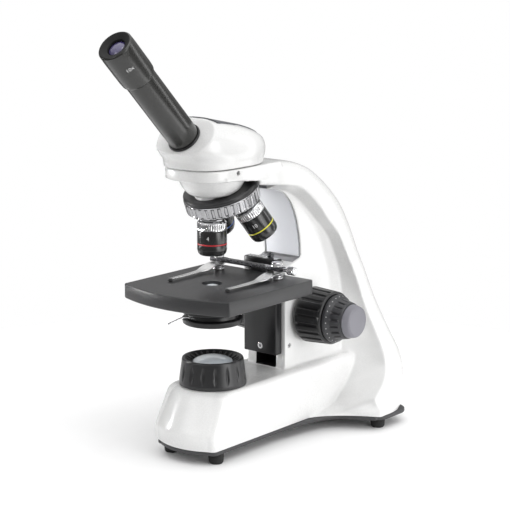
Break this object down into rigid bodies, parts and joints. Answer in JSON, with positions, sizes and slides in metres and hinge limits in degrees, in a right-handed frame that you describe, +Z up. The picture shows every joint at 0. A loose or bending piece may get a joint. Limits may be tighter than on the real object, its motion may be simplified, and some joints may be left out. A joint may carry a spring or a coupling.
{
  "type": "microscope",
  "caption": "Upright light microscope with a slanted viewing tube, a turning nosepiece, a stage that a rack and pinion moves, spring clips, an iris and a built-in lamp.",
  "frame": {"origin": "centre of the footprint, on the table, at the foot bottoms", "axes": "+Z up, -Y towards the user (the lamp and the eyepiece), +X to the right of the instrument"},
  "size_m": [0.156, 0.3196, 0.3449],
  "materials": {
    "white_paint": "gloss white powder coat on cast aluminium",
    "black_paint": "fine textured black paint on aluminium",
    "grey_panel": "satin grey paint",
    "black_plastic": "satin moulded plastic",
    "grey_plastic": "satin moulded plastic",
    "rubber": "matt rubber",
    "chrome": "bright knurled chrome plate",
    "steel": "fine turned steel",
    "glass": "polished and coated",
    "circuit_board": "green solder mask"
  },
  "bodies": {
    "stand": {"stand_casting": "white_paint", "base_plate": "black_plastic", "foot_front_left": "rubber", "foot_front_right": "rubber", "foot_rear_left": "rubber", "foot_rear_right": "rubber", "arm_front_panel": "grey_panel", "arm_set_screw": "steel", "head_lock_screw": "steel", "power_inlet": "black_plastic", "lamp_housing": "black_plastic", "lamp_lens": "glass", "led_board": "circuit_board", "nosepiece_mount": "white_paint", "nosepiece_base": "black_plastic", "nosepiece_pivot_screw": "steel"},
    "focus_slide": {"rack_block": "black_paint", "focus_rack": "steel", "rack_screw": "steel", "stop_screw": "steel"},
    "stage": {"stage_plate": "black_paint", "stage_bracket": "black_paint", "clip_post_left": "chrome", "clip_post_right": "chrome", "clip_bar": "steel", "condenser_mount": "black_plastic", "condenser_lens": "glass", "iris_housing": "black_plastic"},
    "coarse_focus": {"pinion_shaft": "steel", "coarse_knob_left": "black_plastic", "coarse_knob_right": "black_plastic"},
    "fine_focus": {"fine_shaft": "steel", "fine_knob_left": "grey_plastic", "fine_knob_right": "grey_plastic"},
    "clip_left": {"clip_spring_left": "steel", "clip_tip_left": "rubber"},
    "clip_right": {"clip_spring_right": "steel", "clip_tip_right": "rubber"},
    "bar_screw": {"clip_bar_screw": "steel"},
    "iris": {"iris_lever": "steel"},
    "turret": {"nosepiece_turret": "chrome", "objective_4x_sleeve": "chrome", "objective_4x_barrel": "black_plastic", "objective_4x_lens": "glass", "objective_10x_sleeve": "chrome", "objective_10x_barrel": "black_plastic", "objective_10x_lens": "glass", "objective_40x_sleeve": "chrome", "objective_40x_barrel": "black_plastic", "objective_40x_lens": "glass"},
    "head": {"head_housing": "white_paint", "head_top_cover": "grey_plastic", "head_prism": "glass", "viewing_tube": "black_paint"},
    "eyepiece": {"eyepiece_barrel": "chrome", "eyepiece_cap": "black_plastic", "eye_lens": "glass"},
    "dimmer": {"dimmer_knob": "black_plastic"},
    "switch": {"power_switch": "black_plastic"}
  },
  "joints": [
    {"name": "focus_travel", "type": "slide", "parent": "stand", "child": "focus_slide", "axis": [0, 0, 1], "range_m": [-0.011, 0.012]},
    {"name": "coarse_turn", "type": "hinge", "parent": "stand", "child": "coarse_focus", "pos_m": [0, 0.0563, 0.0995], "axis": [1, 0, 0], "range_deg": [-99, 91]},
    {"name": "fine_turn", "type": "hinge", "parent": "stand", "child": "fine_focus", "pos_m": [0, 0.0563, 0.0995], "axis": [1, 0, 0], "range_deg": [-905, 905]},
    {"name": "fine_travel", "type": "slide", "parent": "focus_slide", "child": "stage", "axis": [0, 0, 1], "range_m": [-0.0005, 0.0005]},
    {"name": "nosepiece_turn", "type": "hinge", "parent": "stand", "child": "turret", "pos_m": [0, -0.0422, 0.241], "axis": [0, 0.3502, -0.9367], "continuous": true},
    {"name": "head_turn", "type": "hinge", "parent": "stand", "child": "head", "pos_m": [0, -0.0422, 0.2353], "axis": [0, 0, 1], "continuous": true},
    {"name": "eyepiece_pull", "type": "slide", "parent": "head", "child": "eyepiece", "axis": [0, -0.7071, 0.7071], "range_m": [0, 0.02]},
    {"name": "clip_left_swing", "type": "hinge", "parent": "stage", "child": "clip_left", "pos_m": [-0.031, 0.0018, 0.1448], "axis": [0, 0, 1], "range_deg": [-30, 25]},
    {"name": "clip_right_swing", "type": "hinge", "parent": "stage", "child": "clip_right", "pos_m": [0.031, 0.0018, 0.1448], "axis": [0, 0, 1], "range_deg": [-25, 30]},
    {"name": "bar_screw_turn", "type": "hinge", "parent": "stage", "child": "bar_screw", "pos_m": [0, 0.0018, 0.148], "axis": [1, 0, 0], "continuous": true},
    {"name": "iris_turn", "type": "hinge", "parent": "stage", "child": "iris", "pos_m": [0, -0.0422, 0.1138], "axis": [0, 0, 1], "range_deg": [-35, 35]},
    {"name": "dimmer_turn", "type": "hinge", "parent": "stand", "child": "dimmer", "pos_m": [0, 0.0028, 0.034], "axis": [-1, 0, 0], "range_deg": [0, 270]},
    {"name": "switch_rock", "type": "hinge", "parent": "stand", "child": "switch", "pos_m": [-0.0135, 0.1556, 0.0375], "axis": [1, 0, 0], "range_deg": [-17.8, 0]}
  ],
  "couplings": [
    {"joint": "coarse_turn", "follows": "focus_travel", "rad_per_m": -142.86},
    {"joint": "fine_turn", "follows": "fine_travel", "rad_per_m": -31416}
  ]
}
